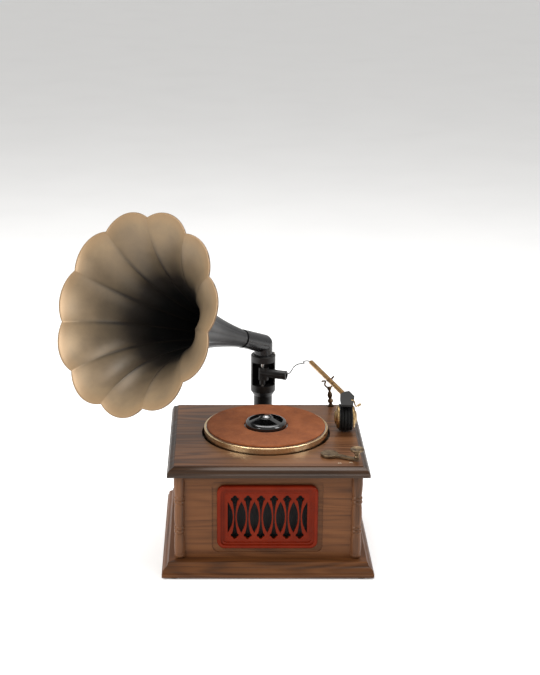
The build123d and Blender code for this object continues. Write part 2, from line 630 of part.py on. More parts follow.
# ---------------------------------------------------------------- speed lever
la = math.radians(LEV_AZ)
with BuildPart() as speed_lever:
    with BuildSketch(flat(LEV[0], LEV[1], 103.1)):
        Circle(7.75)
    extrude(amount=2.0)
    fillet(speed_lever.edges().group_by(Axis.Z)[-1], 0.5)
    with BuildSketch(flat(LEV[0], LEV[1], 103.3)):
        with Locations(Location((0, 0, 0), (0, 0, LEV_AZ))):
            Polygon((4.0, -3.9), (4.0, 3.9), (10.0, 2.7), (26.5, 1.9), (28.3, 1.2), (29.0, 0), (28.3, -1.2), (26.5, -1.9), (10.0, -2.7), align=None)
    extrude(amount=1.5)
    with BuildSketch(flat(LEV[0], LEV[1], 86.0)):
        Circle(2.5)
    extrude(amount=17.2)
    with BuildSketch(flat(LEV[0] + 26.6 * math.cos(la), LEV[1] + 26.6 * math.sin(la), 103.0)):
        Circle(0.9)
    extrude(amount=3, mode=Mode.SUBTRACT)
done(speed_lever, "speed_lever")

KN = (LEV[0] + 26.6 * math.cos(la), LEV[1] + 26.6 * math.sin(la))
with BuildPart() as lever_knob:
    with BuildSketch(front(KN[0], KN[1], 0)):
        with BuildLine():
            Polyline((0, 103.4), (0.88, 103.4), (0.88, 104.8), (1.9, 104.8), (1.9, 105.3))
            ThreePointArc((1.9, 105.3), (2.35, 106.4), (1.5, 107.6))
            ThreePointArc((1.5, 107.6), (1.7, 108.6), (2.5, 109.3))
            ThreePointArc((2.5, 109.3), (2.7, 110.2), (2.4, 111.1))
            ThreePointArc((2.4, 111.1), (4.2, 111.5), (5.7, 112.4))
            ThreePointArc((5.7, 112.4), (6.15, 113.4), (5.6, 114.2))
            ThreePointArc((5.6, 114.2), (3.0, 113.6), (0.8, 113.3))
            Polyline((0.8, 113.3), (0, 113.3), (0, 103.4))
        make_face()
    revolve(axis=Axis(pos(KN[0], KN[1], 0), (0, 0, 1)), revolution_arc=360)
done(lever_knob, "lever_knob")

with BuildPart() as speed_switch:
    with BuildSketch(flat(LEV[0], LEV[1], 83.0)):
        Rectangle(17.0, 14.0)
    extrude(amount=10.4)
    with BuildSketch(flat(LEV[0], LEV[1], 84.5)):
        Circle(2.56)
    extrude(amount=12, mode=Mode.SUBTRACT)
    with BuildSketch(flat(LEV[0], LEV[1], 80.0)):
        with GridLocations(4.0, 6.0, 3, 2):
            Rectangle(1.6, 0.6)
    extrude(amount=3.0)
done(speed_switch, "speed_switch")

# ---------------------------------------------------------------- rear bracket and pillar
with BuildPart() as rear_bracket:
    with BuildSketch(front(0, BODY_Y + 4.2, 60.0)):
        RectangleRounded(46, 54, 4)
    extrude(amount=4.2)
    with BuildSketch(flat(0, PIL_Y, 36.0)):
        Circle(12.6)
    extrude(amount=50.0)
    with BuildSketch(flat(0, (BODY_Y + PIL_Y) / 2, 42.0)):
        Rectangle(9.0, PIL_Y - BODY_Y - 2)
    extrude(amount=38.0)
    with BuildSketch(front(0, PIL_Y - 4, 61.0)):
        Rectangle(18, 9.0)
    extrude(amount=PIL_Y - 4 - BODY_Y - 1)
    with BuildSketch(flat(0, PIL_Y, 38.5)):
        Circle(STEM_R + 0.02)
    extrude(amount=60.0, mode=Mode.SUBTRACT)
    with BuildSketch(front(0, BODY_Y + 6, 60.0)):
        with GridLocations(36, 44, 2, 2):
            Circle(1.7)
    extrude(amount=8, mode=Mode.SUBTRACT)
    with BuildSketch(front(0, PIL_Y, 60.0)):
        Circle(2.6)
    extrude(amount=PIL_Y - BODY_Y + 2, mode=Mode.SUBTRACT)
done(rear_bracket, "rear_bracket")

with BuildPart() as bracket_screws:
    with BuildSketch(front(0, BODY_Y + 6.0, 60.0)):
        with GridLocations(36, 44, 2, 2):
            Circle(3.0)
    extrude(amount=1.8)
    with BuildSketch(front(0, BODY_Y + 4.2, 60.0)):
        with GridLocations(36, 44, 2, 2):
            Circle(1.25)
    extrude(amount=9.5)

# all the screws, each a separate solid
with BuildPart() as screws:
    add(base_screws.part)
    add(plate_screws.part)
    add(motor_screws.part)
    add(bracket_screws.part)
done(screws, "screws")

with BuildPart() as pillar:
    with BuildSketch(front(0, PIL_Y, 0)):
        with BuildLine():
            Polyline((0, 38.6), (STEM_R, 38.6), (STEM_R, 102.6), (HOUS_R, HOUS_Z0), (HOUS_R, 143.9), (HOUS_R - 0.6, HOUS_Z1), (0, HOUS_Z1), (0, 38.6))
        make_face()
    revolve(axis=Axis(pos(0, PIL_Y, 0), (0, 0, 1)), revolution_arc=360)
    # lead duct up the stem
    with BuildSketch(flat(0, PIL_Y, 38.0)):
        Circle(5.0)
    extrude(amount=WIN_Z0 - 38.0 + 1, mode=Mode.SUBTRACT)
    with BuildSketch(front(0, PIL_Y, 60.0)):
        Circle(2.4)
    extrude(amount=12, mode=Mode.SUBTRACT)
    # chamber behind the window
    with BuildSketch(flat(0, PIL_Y, WIN_Z0)):
        Circle(HOUS_R - 1.6)
    extrude(amount=WIN_Z1 - WIN_Z0, mode=Mode.SUBTRACT)
    # window: a notch across the front, from the left edge round to the right
    with BuildSketch(flat(0, PIL_Y - 2.6 - 10, WIN_Z0)):
        Rectangle(21.8, 20)
    extrude(amount=WIN_Z1 - WIN_Z0, mode=Mode.SUBTRACT)
    # bore for the elbow spigot, with a counterbore
    with BuildSketch(flat(0, PIL_Y, 137.0)):
        Circle(5.3)
    extrude(amount=10, mode=Mode.SUBTRACT)
    with BuildSketch(flat(0, PIL_Y, HOUS_Z1 - 1.2)):
        Circle(STEM_R + 0.15)
    extrude(amount=3, mode=Mode.SUBTRACT)
    # holes for the pivot pin
    with BuildSketch(flat(PIV[0], PIV[1], WIN_Z0 - 3)):
        Circle(1.5)
    extrude(amount=WIN_Z1 - WIN_Z0 + 5.5, mode=Mode.SUBTRACT)
done(pillar, "pillar")

with BuildPart() as arm_pivot_pin:
    with BuildSketch(flat(PIV[0], PIV[1], WIN_Z0 - 3)):
        Circle(1.5)
    extrude(amount=WIN_Z1 - WIN_Z0 + 5.5)
done(arm_pivot_pin, "arm_pivot_pin")

with BuildPart() as horn_set_screw:
    with BuildSketch(front(10.35, PIL_Y, 0)):
        Polygon((0, HOUS_Z1), (1.15, HOUS_Z1), (1.15, 146.4), (0.8, 147.0), (0, 147.0), align=None)
    revolve(axis=Axis(pos(10.35, PIL_Y, 0), (0, 0, 1)), revolution_arc=360)
done(horn_set_screw, "horn_set_screw")

# ---------------------------------------------------------------- arm socket
sa = math.radians(SOCKET_AZ)
SD = Vector(math.cos(sa), math.sin(sa), 0)
SOCK = Plane(origin=pos(PIV[0], PIV[1], ARM_Z), x_dir=(-math.sin(sa), math.cos(sa), 0), z_dir=SD)
with BuildPart() as arm_socket:
    with BuildSketch(Plane(origin=pos(PIV[0], PIV[1], 121.2), x_dir=SD, z_dir=(0, 0, 1))):
        with Locations((1.4, 0)):
            RectangleRounded(9.6, 7.4, 2.4)
    extrude(amount=12.4)
    with BuildSketch(SOCK):
        Circle(4.4)
    extrude(amount=22.6)
    with BuildSketch(Plane(origin=SOCK.origin + SD * 7.0, x_dir=SOCK.x_dir, z_dir=SD)):
        Circle(2.45)
    extrude(amount=20, mode=Mode.SUBTRACT)
    with BuildSketch(flat(PIV[0], PIV[1], 118.0)):
        Circle(1.56)
    extrude(amount=20, mode=Mode.SUBTRACT)
    with BuildSketch(Plane(origin=pos(PIV[0], PIV[1], 116.0), x_dir=SD, z_dir=(0, 0, 1))):
        Circle(2.9)
        Circle(1.56, mode=Mode.SUBTRACT)
    extrude(amount=6.0)

with BuildPart() as socket_collar:
    with BuildSketch(Plane(origin=SOCK.origin + SD * 22.6, x_dir=SOCK.x_dir, z_dir=SD)):
        Circle(4.55)
        Circle(2.45, mode=Mode.SUBTRACT)
    extrude(amount=2.6)
    fillet(socket_collar.edges().filter_by(GeomType.CIRCLE).group_by(SortBy.RADIUS)[-1].sort_by(Axis(SOCK.origin, SD))[-1], 0.9)
done(socket_collar, "socket_collar")

with BuildPart() as socket_block:
    add(arm_socket.part)
    with BuildSketch(Plane(origin=SOCK.origin + SD * 1.6 + Vector(math.sin(sa), -math.cos(sa), 0) * 3.7 + Vector(0, 0, -4.6), x_dir=SD, z_dir=(math.sin(sa), -math.cos(sa), 0))):
        Circle(1.25)
    extrude(amount=0.8)
done(socket_block, "arm_socket")

# ---------------------------------------------------------------- horn elbow
ha, he = math.radians(HORN_AZ), math.radians(HORN_EL)
HD = Vector(-math.cos(he) * math.cos(ha), -math.cos(he) * math.sin(ha), math.sin(he))
HU = (Vector(0, 0, 1) - HD * HD.Z).normalized()
E = pos(0, PIL_Y, ELBOW_Z)
with BuildPart() as horn_elbow:
    with BuildSketch(flat(0, PIL_Y, HOUS_Z1 - 1.1)):
        Circle(STEM_R)
    extrude(amount=ELBOW_Z - HOUS_Z1 + 1.1)
    with BuildSketch(Plane(origin=E, x_dir=HU, z_dir=HD)):
        Circle(STEM_R)
    extrude(amount=36.0)
    with Locations(Location(E)):
        Sphere(STEM_R)
    with BuildSketch(flat(0, PIL_Y, 138.4)):
        Circle(5.25)
    extrude(amount=8)
    # air way through the spigot and the elbow, and the wider mouth for the horn's neck
    with BuildSketch(Plane(origin=E, x_dir=HU, z_dir=HD)):
        Circle(6.0)
    extrude(amount=38.0, mode=Mode.SUBTRACT)
    with BuildSketch(Plane(origin=E + HD * 18.0, x_dir=HU, z_dir=HD)):
        Circle(7.75)
    extrude(amount=20.0, mode=Mode.SUBTRACT)
    with BuildSketch(flat(0, PIL_Y, 137.0)):
        Circle(3.4)
    extrude(amount=ELBOW_Z - 137.0, mode=Mode.SUBTRACT)
done(horn_elbow, "horn_elbow")


# ---------------------------------------------------------------- horn bell
# notch radius and petal crown radius of the inner surface, along the axis
HORN = [(18.2, 6.2, 6.2), (36.0, 7.0, 7.15), (60.0, 9.6, 9.95), (87.0, 14.2, 14.85), (115.0, 21.4, 22.6),
        (140.0, 31.2, 33.2), (160.0, 42.0, 45.0), (176.0, 55.0, 59.0), (187.0, 67.5, 72.6), (194.5, 79.4, 85.6), (197.6, 85.6, 92.5)]
WALL = 1.5


def petal_ring(rn, rt):
    hw = rn * math.sin(math.pi / PETALS)
    for k in range(PETALS):
        a0 = math.radians(PETAL_PHASE) + 2 * math.pi * k / PETALS
        a1 = a0 + 2 * math.pi / PETALS
        am = (a0 + a1) / 2
        ThreePointArc((rn * math.cos(a0), rn * math.sin(a0)), (rt * math.cos(am), rt * math.sin(am)), (rn * math.cos(a1), rn * math.sin(a1)))


def horn_plane(t):
    return Plane(origin=E + HD * t, x_dir=HU, z_dir=HD)


outer_rows = []
for i, (t, rn, rt) in enumerate(HORN):
    j0, j1 = max(0, i - 1), min(len(HORN) - 1, i + 1)
    slope = math.atan2(HORN[j1][1] - HORN[j0][1], HORN[j1][0] - HORN[j0][0])
    outer_rows.append((t - WALL * math.sin(slope), rn + WALL * math.cos(slope), rt + WALL * math.cos(slope)))
outer_rows[0] = (18.2, 7.62, 7.72)
outer_rows[1] = (35.9, 7.62, 7.72)
rim_t, rim_n, rim_c = outer_rows[-1]
outer_rows[-1] = (rim_t, HORN[-1][1] + 0.7, HORN[-1][2] + 0.7)

with BuildPart() as horn_bell:
    for t, rn, rt in outer_rows:
        with BuildSketch(horn_plane(t)):
            with BuildLine():
                petal_ring(rn, rt)
            make_face()
    loft()
    for t, rn, rt in [(15.0, 5.9, 6.0)] + HORN[1:-1] + [(198.8, HORN[-1][1] + 2.6, HORN[-1][2] + 2.8)]:
        with BuildSketch(horn_plane(t)):
            with BuildLine():
                petal_ring(rn, rt)
            make_face()
    loft(mode=Mode.SUBTRACT)
print("horn solids", len(horn_bell.solids()), "volume", horn_bell.part.volume)
done(horn_bell, "horn_bell")

# ---------------------------------------------------------------- arm rest
REST = pos(65.0, 74.6, TOP_Z1)
rest_dir = Vector(-0.105, 0.0, 1.0).normalized()
REST_PL = Plane(origin=REST, x_dir=(math.cos(math.radians(24)), math.sin(math.radians(24)), 0), z_dir=(0, 0, 1))
with BuildPart() as arm_rest:
    with BuildSketch(flat(65.0, 74.6, TOP_Z1)):
        Circle(2.95)
    extrude(amount=1.0)
    with BuildSketch(flat(65.0, 74.6, TOP_Z1 - 5.0)):
        Circle(1.2)
    extrude(amount=5.5)
    with BuildSketch(Plane(origin=REST, x_dir=Vector(1, 0, 0.105).normalized(), z_dir=(0, -1, 0))):
        with BuildLine():
            Polyline((0, 0.4), (2.0, 0.4), (1.9, 1.6))
            ThreePointArc((1.9, 1.6), (1.55, 2.6), (1.9, 3.9))
            ThreePointArc((1.9, 3.9), (2.75, 5.6), (1.7, 7.3))
            ThreePointArc((1.7, 7.3), (1.45, 8.0), (1.7, 8.7))
            ThreePointArc((1.7, 8.7), (2.35, 11.9), (1.3, 14.6))
            ThreePointArc((1.3, 14.6), (1.2, 16.2), (1.9, 17.4))
            ThreePointArc((1.9, 17.4), (2.0, 19.0), (1.2, 20.0))
            Polyline((1.2, 20.0), (0, 20.2), (0, 0.4))
        make_face()
    revolve(axis=Axis(REST, rest_dir), revolution_arc=360)
    # the two prongs, one wire bent into a fork with turned-out tips
    fx = Vector(math.cos(math.radians(24)), math.sin(math.radians(24)), 0)
    F0 = REST + rest_dir * 19.0
    with BuildLine() as fork_line:
        Spline(*[F0 + fx * u + Vector(0, 0, v) for u, v in ((-8.4, 7.5), (-6.0, 7.7), (-4.2, 6.9), (-4.9, 4.8), (-3.6, 1.9), (0, 0), (3.4, 1.9), (4.1, 4.8), (2.5, 7.9), (3.2, 9.6), (4.9, 10.7))])
    with BuildSketch(Plane(origin=fork_line.line @ 0, z_dir=fork_line.line % 0)):
        Circle(0.85)
    sweep(path=fork_line.line)
done(arm_rest, "arm_rest")

# ---------------------------------------------------------------- tonearm
PA, PB = pos(*ARM_A), pos(*ARM_B)
TD = (PB - PA).normalized()
T0 = PA - TD * 13.0
TUBE_L = (PB - T0).length
with BuildPart() as arm_tube:
    with BuildSketch(Plane(origin=T0, x_dir=(1, 0.2, 0), z_dir=TD)):
        Circle(TUBE_R)
        Circle(TUBE_R - 0.5, mode=Mode.SUBTRACT)
    extrude(amount=TUBE_L)
print("tonearm tube length", TUBE_L)
done(arm_tube, "arm_tube")

SH_Z = 130.2
with BuildPart() as headshell:
    with BuildSketch(flat(0, 0, SH_Z)):
        Polygon((68.6, -3.6), (68.6, 13.0), (69.6, 24.9), (73.5, 32.2), (78.7, 35.3), (82.6, 20.2), (79.0, -4.6), align=None)
    extrude(amount=1.8)
    # block round the tube's end, and the stem that the drum hangs from
    with BuildSketch(flat(0, 0, 126.0)):
        Polygon((70.6, 23.6), (72.0, 30.6), (76.6, 33.2), (80.2, 22.6), align=None)
    extrude(amount=SH_Z - 126.0)
    with BuildSketch(flat(DRUM[0], DRUM[1] + 2.0, DRUM[2] + 9.0)):
        Rectangle(4.0, 9.0)
    extrude(amount=SH_Z - DRUM[2] - 9.0)
    with BuildSketch(Plane(origin=T0, x_dir=(1, 0.2, 0), z_dir=TD)):
        Circle(TUBE_R + 0.02)
    extrude(amount=60, mode=Mode.SUBTRACT)
    # hole in the edge that the finger lift is pushed into
    with BuildSketch(side(76.2, 10.6, SH_Z + 0.9)):
        Circle(0.65)
    extrude(amount=8, mode=Mode.SUBTRACT)
    with BuildSketch(flat(80.3, 10.4, SH_Z - 1)):
        Circle(1.9)
    extrude(amount=4, mode=Mode.SUBTRACT)
done(headshell, "headshell")

with BuildPart() as drum_body:
    with BuildSketch(front(DRUM[0], DRUM[1], DRUM[2])):
        with BuildLine():
            Polyline((-6.2, 0), (-6.2, DRUM_R - 1.6), (-5.8, DRUM_R - 0.5))
            Polyline((-5.8, DRUM_R - 0.5), (-5.0, DRUM_R - 0.2), (-4.4, DRUM_R - 0.9), (-3.8, DRUM_R - 0.1), (-2.4, DRUM_R), (-1.9, DRUM_R - 0.8), (-1.4, DRUM_R),
                     (0.8, DRUM_R), (1.3, DRUM_R - 0.8), (1.8, DRUM_R), (3.6, DRUM_R - 0.1), (4.2, DRUM_R - 0.9), (4.8, DRUM_R - 0.2), (5.8, DRUM_R - 0.5))
            Polyline((5.8, DRUM_R - 0.5), (6.2, DRUM_R - 1.6), (6.2, 0), (-6.2, 0))
        make_face()
    revolve(axis=Axis(pos(*DRUM), (1, 0, 0)), revolution_arc=360)
    # slot for the stem and the recess for the stylus carrier
    with BuildSketch(flat(DRUM[0], DRUM[1] + 2.0, DRUM[2] + 9.0)):
        Rectangle(4.04, 9.04)
    extrude(amount=8, mode=Mode.SUBTRACT)
    with BuildSketch(flat(DRUM[0], DRUM[1] - 1.0, DRUM[2] - DRUM_R - 1)):
        Rectangle(5.04, 8.04)
    extrude(amount=4.0, mode=Mode.SUBTRACT)
done(drum_body, "drum_body")

with BuildPart() as drum_caps:
    for sg in (-1, 1):
        with BuildSketch(front(DRUM[0], DRUM[1], DRUM[2])):
            with BuildLine():
                Polyline((sg * 6.2, 0), (sg * 6.2, 10.9), (sg * 6.9, 10.9))
                ThreePointArc((sg * 6.9, 10.9), (sg * 8.3, 9.7), (sg * 8.7, 8.0))
                ThreePointArc((sg * 8.7, 8.0), (sg * 9.0, 6.4), (sg * 9.9, 5.6))
                ThreePointArc((sg * 9.9, 5.6), (sg * 10.4, 3.4), (sg * 10.6, 1.0))
                Polyline((sg * 10.6, 1.0), (sg * 10.6, 0), (sg * 6.2, 0))
            make_face()
        revolve(axis=Axis(pos(*DRUM), (1, 0, 0)), revolution_arc=360)
done(drum_caps, "drum_caps")

with BuildPart() as stylus_carrier:
    with BuildSketch(flat(DRUM[0], DRUM[1] - 1.0, DRUM[2] - DRUM_R + 0.1)):
        Rectangle(5.0, 8.0)
    extrude(amount=2.9)
    with BuildSketch(front(DRUM[0], DRUM[1] - 1.0, 0)):
        Polygon((0, TOP_Z1 + 0.3), (0.18, TOP_Z1 + 0.3), (0.45, DRUM[2] - DRUM_R + 0.2), (0, DRUM[2] - DRUM_R + 0.2), align=None)
    revolve(axis=Axis(pos(DRUM[0], DRUM[1] - 1.0, 0), (0, 0, 1)), revolution_arc=360)
done(stylus_carrier, "stylus_carrier")

with BuildPart() as finger_lift:
    with BuildLine() as lift_line:
        FilletPolyline(pos(76.2, 10.6, SH_Z + 0.9), pos(81.4, 10.6, SH_Z + 0.9), pos(82.8, 9.8, 125.0), pos(87.0, 12.0, 126.6), radius=1.6)
    with BuildSketch(Plane(origin=lift_line.line @ 0, z_dir=lift_line.line % 0)):
        Circle(0.65)
    sweep(path=lift_line.line)
    with BuildSketch(Plane(origin=lift_line.line @ 1 - (lift_line.line % 1) * 2.2, z_dir=lift_line.line % 1)):
        Circle(1.15)
    extrude(amount=3.0)
done(finger_lift, "finger_lift")

# ---------------------------------------------------------------- pickup lead
LEAD_R = 0.5
UP = Vector(0, 0, 1)
mouth = SOCK.origin + SD * 25.2
NL = Vector(-TD.Y, TD.X, 0).normalized()      # to the left of the tube
L1 = PB + TD * 3.6
L2 = L1 + (TD * 0.5 + NL * 0.866) * 4.4
L3 = L2 + (TD * -0.5 + NL * 0.866) * 4.4
LEAD = [mouth + SD * -2.6 + UP * 0.9,
        mouth + SD * 2.0 + UP * 1.5,
        pos(27.3, 92.9, 132.4),
        pos(29.6, 97.4, 135.3),
        pos(34.2, 101.7, 136.5),
        pos(39.0, 105.6, 135.6),
        pos(41.1, 110.6, 134.3),
        L3,
        L2,
        L1,
        PB + TD * -2.6]
radii = []
for i in range(1, len(LEAD) - 1):
    a, b = LEAD[i] - LEAD[i - 1], LEAD[i + 1] - LEAD[i]
    turn = math.radians(a.get_angle(b))
    radii.append(0.45 * min(a.length, b.length) / math.tan(turn / 2))
print("lead runs", [round((LEAD[i + 1] - LEAD[i]).length, 2) for i in range(len(LEAD) - 1)])
print("lead turns", [round((LEAD[i] - LEAD[i - 1]).get_angle(LEAD[i + 1] - LEAD[i]), 1) for i in range(1, len(LEAD) - 1)])
print("lead radii", [round(r, 2) for r in radii])
with BuildPart() as pickup_lead:
    with BuildLine() as lead_line:
        FilletPolyline(*LEAD, radius=radii)
    with BuildSketch(Plane(origin=lead_line.line @ 0, z_dir=lead_line.line % 0)):
        Circle(LEAD_R)
    sweep(path=lead_line.line)
lead_length = sum(e.length for e in lead_line.edges())
print("lead length", lead_length, "volume", pickup_lead.part.volume, "section x length", math.pi * LEAD_R ** 2 * lead_length)
done(pickup_lead, "pickup_lead")
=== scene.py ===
import bpy, bmesh, math
from mathutils import Vector, Matrix


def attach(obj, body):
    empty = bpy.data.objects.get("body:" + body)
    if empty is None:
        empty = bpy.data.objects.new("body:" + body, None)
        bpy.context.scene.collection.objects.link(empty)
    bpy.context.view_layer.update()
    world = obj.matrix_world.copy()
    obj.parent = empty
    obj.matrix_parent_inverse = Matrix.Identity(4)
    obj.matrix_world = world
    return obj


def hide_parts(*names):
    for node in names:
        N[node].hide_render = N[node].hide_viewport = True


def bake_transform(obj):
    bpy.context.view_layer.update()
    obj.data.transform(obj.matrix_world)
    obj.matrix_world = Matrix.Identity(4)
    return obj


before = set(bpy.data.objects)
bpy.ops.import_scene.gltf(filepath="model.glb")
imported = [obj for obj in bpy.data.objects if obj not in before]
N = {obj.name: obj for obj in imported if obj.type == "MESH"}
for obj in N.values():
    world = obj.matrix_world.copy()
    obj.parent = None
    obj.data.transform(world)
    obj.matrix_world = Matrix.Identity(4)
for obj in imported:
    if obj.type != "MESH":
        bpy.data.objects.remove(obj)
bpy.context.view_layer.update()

# cabinet coordinates (mm) to the row frame (m)
CX, CY, CZ = 48.2172, -11.9517, 1.6


def P(x, y, z):
    return Vector(((CX + x) / 1000, (CY + y) / 1000, (CZ + z) / 1000))


# ------------------------------------------------------------------ materials
class Mat:
    def __init__(self, name):
        self.m = bpy.data.materials.new(name)
        self.m.use_nodes = True
        self.t = self.m.node_tree
        self.b = self.t.nodes["Principled BSDF"]
        tc = self.t.nodes.new("ShaderNodeTexCoord")
        self.co = tc.outputs["Object"]

    def n(self, kind, **kw):
        x = self.t.nodes.new(kind)
        for k, v in kw.items():
            setattr(x, k, v)
        return x

    def link(self, a, b):
        self.t.links.new(a, b)

    def map(self, scale, loc=(0, 0, 0), rot=(0, 0, 0)):
        x = self.n("ShaderNodeMapping")
        x.inputs["Scale"].default_value = scale
        x.inputs["Location"].default_value = loc
        x.inputs["Rotation"].default_value = rot
        self.link(self.co, x.inputs["Vector"])
        return x.outputs["Vector"]

    def noise(self, vec, scale, detail=4.0, rough=0.55, dist=0.0):
        x = self.n("ShaderNodeTexNoise")
        x.inputs["Scale"].default_value = scale
        x.inputs["Detail"].default_value = detail
        x.inputs["Roughness"].default_value = rough
        x.inputs["Distortion"].default_value = dist
        self.link(vec, x.inputs["Vector"])
        return x.outputs["Fac"]

    def ramp(self, fac, stops, interp="LINEAR"):
        x = self.n("ShaderNodeValToRGB")
        x.color_ramp.interpolation = interp
        e = x.color_ramp.elements
        while len(e) < len(stops):
            e.new(0.5)
        for i, (p, c) in enumerate(stops):
            e[i].position = p
            e[i].color = tuple(c) + (1.0,) if len(c) == 3 else c
        self.link(fac, x.inputs["Fac"])
        return x.outputs["Color"]

    def mix(self, fac, a, b, mode="MIX"):
        x = self.n("ShaderNodeMix", data_type="RGBA", blend_type=mode)
        for i, v in ((0, fac), (6, a), (7, b)):
            if isinstance(v, (int, float)):
                x.inputs[i].default_value = v
            elif isinstance(v, tuple):
                x.inputs[i].default_value = v if len(v) == 4 else v + (1.0,)
            else:
                self.link(v, x.inputs[i])
        return x.outputs[2]

    def math(self, op, a, b=0.0, c=0.0):
        x = self.n("ShaderNodeMath", operation=op)
        for i, v in enumerate((a, b, c)):
            if isinstance(v, (int, float)):
                x.inputs[i].default_value = v
            else:
                self.link(v, x.inputs[i])
        return x.outputs[0]

    def range(self, v, a, b, c, d):
        x = self.n("ShaderNodeMapRange")
        for i, q in ((1, a), (2, b), (3, c), (4, d)):
            x.inputs[i].default_value = q
        self.link(v, x.inputs[0])
        return x.outputs[0]

    def bump(self, height, dist, strength=1.0, under=None):
        x = self.n("ShaderNodeBump")
        x.inputs["Distance"].default_value = dist
        x.inputs["Strength"].default_value = strength
        self.link(height, x.inputs["Height"])
        if under is not None:
            self.link(under, x.inputs["Normal"])
        return x.outputs["Normal"]

    def color(self, c):
        if isinstance(c, tuple):
            self.b.inputs["Base Color"].default_value = c + (1.0,)
        else:
            self.link(c, self.b.inputs["Base Color"])

    def rough(self, r):
        if isinstance(r, (int, float)):
            self.b.inputs["Roughness"].default_value = r
        else:
            self.link(r, self.b.inputs["Roughness"])

    def normal(self, n):
        self.link(n, self.b.inputs["Normal"])

    def set(self, **kw):
        for k, v in kw.items():
            self.b.inputs[k.replace("_", " ")].default_value = v


def wood(name, axis, light, mid, dark, spread=1.0, seed=0.0, coat=0.1, ring=1.0, painted_shade=None):
    """Stained oak: broad cathedral figure, fine pores along the grain, satin lacquer; optional painted shade darkening
    the lower edge.
    """
    m = Mat(name)
    s = {"X": (2.2, 26, 26), "Y": (26, 2.2, 26), "Z": (26, 26, 2.2)}[axis]
    vec = m.map(s, (seed, seed * 0.7, seed * 1.3))
    broad = m.noise(vec, 1.0 * ring, 2.0, 0.5, 0.6)
    rings = m.math("SINE", m.math("MULTIPLY", broad, 62.0))
    rings = m.range(rings, -1, 1, 0, 1)
    fs = {"X": (14, 900, 900), "Y": (900, 14, 900), "Z": (900, 900, 14)}[axis]
    fine = m.noise(m.map(fs), 1.0, 3.0, 0.6)
    ms = {"X": (5, 160, 160), "Y": (160, 5, 160), "Z": (160, 160, 5)}[axis]
    medium = m.noise(m.map(ms), 1.0, 4.0, 0.6)
    cloud = m.noise(m.map((9, 9, 9), (seed, 3, 1)), 1.0, 3.0)
    v = m.math("ADD", m.math("MULTIPLY", rings, 0.36 * spread), m.math("MULTIPLY", medium, 0.62))
    v = m.math("ADD", v, m.math("MULTIPLY", fine, 0.28))
    v = m.math("ADD", v, m.math("MULTIPLY", cloud, 0.22))
    col = m.ramp(v, [(0.38, dark), (0.62, mid), (0.98, light)])
    pores = m.range(fine, 0.28, 0.42, 0.0, 1.0)
    col = m.mix(m.math("MULTIPLY", m.math("SUBTRACT", 1.0, pores), 0.65), col, dark)
    # painted shade: colour is darkened below a given height, standing in for the shade on the downward-facing edge
    # profile
    if painted_shade is not None:
        sep = m.n("ShaderNodeSeparateXYZ")
        m.link(m.co, sep.inputs[0])
        f = m.range(sep.outputs[2], painted_shade[0], painted_shade[1], painted_shade[2], 1.0)
        col = m.mix(1.0, col, f, "MULTIPLY")
    m.color(col)
    m.rough(m.range(medium, 0.2, 0.8, 0.36, 0.55))
    m.normal(m.bump(fine, 0.00012, 0.5, m.bump(rings, 0.00012, 0.35)))
    m.set(Coat_Weight=coat, Coat_Roughness=0.25, Specular_IOR_Level=0.20, Specular_Tint=(1.0, 0.86, 0.70, 1.0))
    return m


def plastic(name, c, c2, rough=(0.3, 0.45), bump=0.00003, scale=900, coat=0.0, spec=0.5):
    m = Mat(name)
    f = m.noise(m.map((1, 1, 1)), scale, 3.0)
    g = m.noise(m.map((1, 1, 1)), 45, 4.0, 0.6)
    m.color(m.ramp(g, [(0.3, c), (0.72, c2)]))
    m.rough(m.range(g, 0.3, 0.7, rough[0], rough[1]))
    m.normal(m.bump(f, bump, 0.5))
    m.set(Coat_Weight=coat, Coat_Roughness=0.12, Specular_IOR_Level=spec)
    return m


def metal(name, c, c2, dark, rough=(0.25, 0.45), brushed=None, metallic=1.0, scale=160):
    m = Mat(name)
    g = m.noise(m.map((1, 1, 1)), scale, 5.0, 0.65)
    h = m.noise(m.map(brushed or (1, 1, 1)), 700, 3.0)
    col = m.ramp(g, [(0.3, dark), (0.48, c2), (0.7, c)])
    m.color(col)
    m.rough(m.range(g, 0.3, 0.7, rough[1], rough[0]))
    m.normal(m.bump(h, 0.00002, 0.4))
    m.set(Metallic=metallic)
    return m


# the last argument paints shade on the moulded edge of the top panel, darker towards its bottom
top_wood = wood("top_oak", "X", (0.134, 0.055, 0.021), (0.078, 0.029, 0.010), (0.020, 0.008, 0.004), 1.0, 1.7, 0.34, 1.1, (0.1029, 0.1036, 0.26))
edge_wood = wood("moulding_oak", "X", (0.125, 0.046, 0.014), (0.070, 0.024, 0.007), (0.020, 0.008, 0.004), 0.55, 4.1, 0.12, 1.2)
case_x = wood("case_oak_wide", "X", (0.158, 0.061, 0.022), (0.102, 0.037, 0.013), (0.036, 0.013, 0.006), 0.5, 2.2, 0.08, 1.2)
case_y = wood("case_oak_deep", "Y", (0.150, 0.058, 0.022), (0.096, 0.036, 0.013), (0.034, 0.013, 0.006), 0.5, 5.2, 0.08, 1.2)
case_z = wood("column_oak", "Z", (0.160, 0.068, 0.029), (0.098, 0.039, 0.016), (0.034, 0.014, 0.007), 0.42, 0.4, 0.15)
plain = wood("plain_board", "X", (0.36, 0.24, 0.14), (0.29, 0.18, 0.10), (0.17, 0.10, 0.06), 0.4, 7.7, 0.0)
black = plastic("black_plastic", (0.006, 0.0055, 0.0055), (0.016, 0.014, 0.013), (0.30, 0.46), spec=0.35)
gloss_black = plastic("adaptor_black", (0.006, 0.006, 0.006), (0.012, 0.012, 0.012), (0.10, 0.22), 0.00001, 600, 0.6)
elbow_black = plastic("elbow_black", (0.007, 0.007, 0.008), (0.016, 0.016, 0.017), (0.20, 0.34), 0.00002, 700, 0.1, 0.4)
shell_grey = plastic("headshell_grey", (0.0065, 0.0063, 0.006), (0.018, 0.017, 0.016), (0.38, 0.55), spec=0.26)
